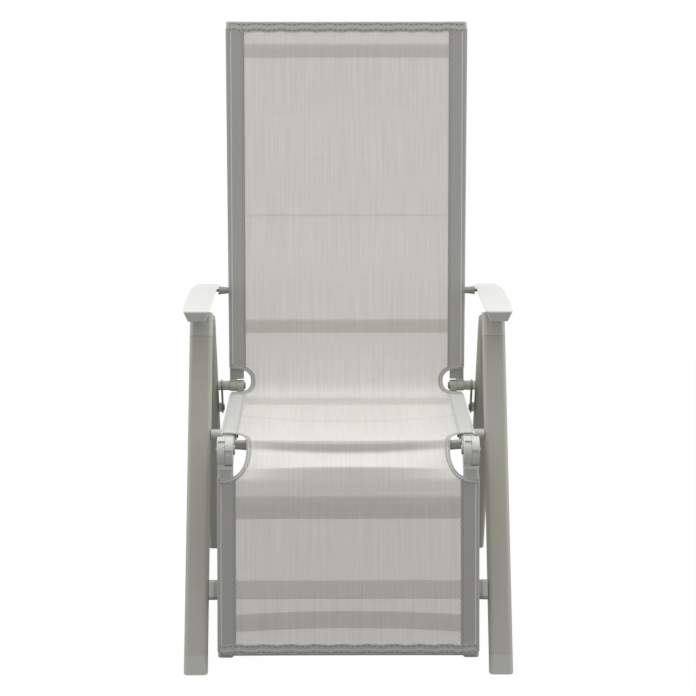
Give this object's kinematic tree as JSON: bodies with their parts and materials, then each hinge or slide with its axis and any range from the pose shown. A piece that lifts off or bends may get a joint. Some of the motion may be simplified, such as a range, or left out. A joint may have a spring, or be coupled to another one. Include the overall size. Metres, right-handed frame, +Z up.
{
  "type": "reclining garden armchair",
  "caption": "Reclining garden armchair with an aluminium frame, a stretched mesh sling, notched armrests and a raising footrest.",
  "frame": {"origin": "on the floor, in the middle of the outer box", "axes": "+X to the sitter's left, +Y to the rear, +Z up"},
  "size_m": [0.6156, 0.7258, 1.1215],
  "materials": {
    "painted_aluminium": "satin powder coat",
    "cap_plastic": "matte",
    "grey_plastic": "matte",
    "dark_plastic": "matte",
    "armrest_plastic": "satin",
    "steel": "zinc plated",
    "fabric": "coated mesh weave"
  },
  "bodies": {
    "frame": {"armrest_pegs": "grey_plastic", "front_crossbar": "painted_aluminium", "front_crossbar_collars": "grey_plastic", "front_leg_caps": "cap_plastic", "front_leg_feet": "cap_plastic", "front_leg_left": "painted_aluminium", "front_leg_right": "painted_aluminium", "knuckle_bolts": "steel", "leg_bracket_bolts": "steel", "leg_brackets": "painted_aluminium", "rear_crossbar": "painted_aluminium", "rear_hinge_bolts": "steel", "rear_hinge_collars": "painted_aluminium", "rear_leg_caps": "cap_plastic", "rear_leg_feet": "cap_plastic", "rear_leg_left": "painted_aluminium", "rear_leg_plates": "steel", "rear_leg_right": "painted_aluminium", "rear_plate_bolts": "steel", "rear_plate_spacers": "grey_plastic", "seat_front_bar": "painted_aluminium", "seat_hinge_lugs": "painted_aluminium", "seat_knuckles": "cap_plastic", "seat_leg_bolts": "steel", "seat_leg_spacers": "grey_plastic", "seat_rail_left": "painted_aluminium", "seat_rail_rear_caps": "cap_plastic", "seat_rail_right": "painted_aluminium", "seat_rear_bar": "painted_aluminium", "seat_sling": "fabric"},
    "backrest": {"back_hinge_caps": "dark_plastic", "back_hinge_tongues": "painted_aluminium", "back_lower_bar": "painted_aluminium", "back_pins": "dark_plastic", "back_rail_left": "painted_aluminium", "back_rail_right": "painted_aluminium", "back_sling": "fabric", "back_top_caps": "cap_plastic", "back_upper_bar": "painted_aluminium", "armrest_bolts": "steel"},
    "armrests": {"armrest_left": "armrest_plastic", "armrest_right": "armrest_plastic", "armrest_racks": "grey_plastic"},
    "footrest": {"footrest_end_caps": "cap_plastic", "footrest_knuckles": "cap_plastic", "footrest_lower_bar": "painted_aluminium", "footrest_rail_left": "painted_aluminium", "footrest_rail_right": "painted_aluminium", "footrest_rings": "cap_plastic", "footrest_sling": "fabric", "footrest_upper_bar": "painted_aluminium"}
  },
  "joints": [
    {"name": "back_recline", "type": "hinge", "parent": "frame", "child": "backrest", "pos_m": [0, 0.17246, 0.40222], "axis": [-1, 0, 0], "range_deg": [0, 40]},
    {"name": "armrest_tilt", "type": "hinge", "parent": "backrest", "child": "armrests", "pos_m": [0, 0.19686, 0.59266], "axis": [-1, 0, 0], "range_deg": [-31.5, 0.5]},
    {"name": "footrest_raise", "type": "hinge", "parent": "frame", "child": "footrest", "pos_m": [0, -0.27304, 0.393], "axis": [-1, 0, 0], "range_deg": [0, 77]}
  ],
  "couplings": [
    {"joint": "armrest_tilt", "follows": "back_recline", "ratio": -0.78359}
  ]
}
